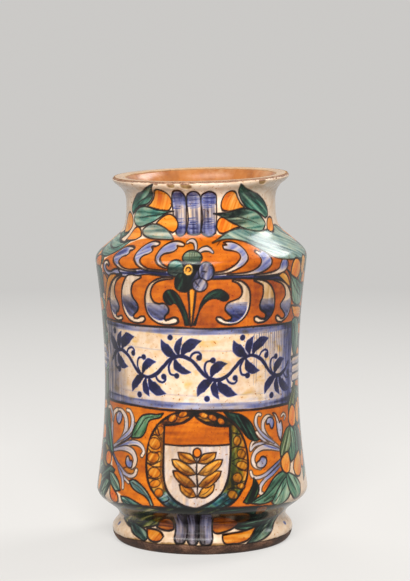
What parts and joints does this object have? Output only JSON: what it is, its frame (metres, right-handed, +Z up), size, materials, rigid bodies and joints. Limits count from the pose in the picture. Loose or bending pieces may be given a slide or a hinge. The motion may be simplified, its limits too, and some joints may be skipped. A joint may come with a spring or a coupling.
{
  "type": "albarello",
  "caption": "Waisted earthenware storage jar with a narrow neck, an everted lip and a splayed foot, glazed white outside and amber inside.",
  "frame": {"origin": "centre of the flat ring under the foot that the jar stands on", "axes": "+Z up along the axis the jar was turned about, -Y towards the viewer of the painted front, +X to that viewer's right"},
  "size_m": [0.1386, 0.1386, 0.2412],
  "materials": {
    "fired_earthenware": "bare fired clay, matte and slightly gritty",
    "tin_glaze": "glossy creamy white tin glaze, painted",
    "lead_glaze": "glossy amber lead glaze"
  },
  "bodies": {
    "root": {"clay_body": "fired_earthenware", "outer_tin_glaze": "tin_glaze", "lip_tin_glaze": "tin_glaze", "inner_lead_glaze": "lead_glaze"}
  },
  "joints": []
}
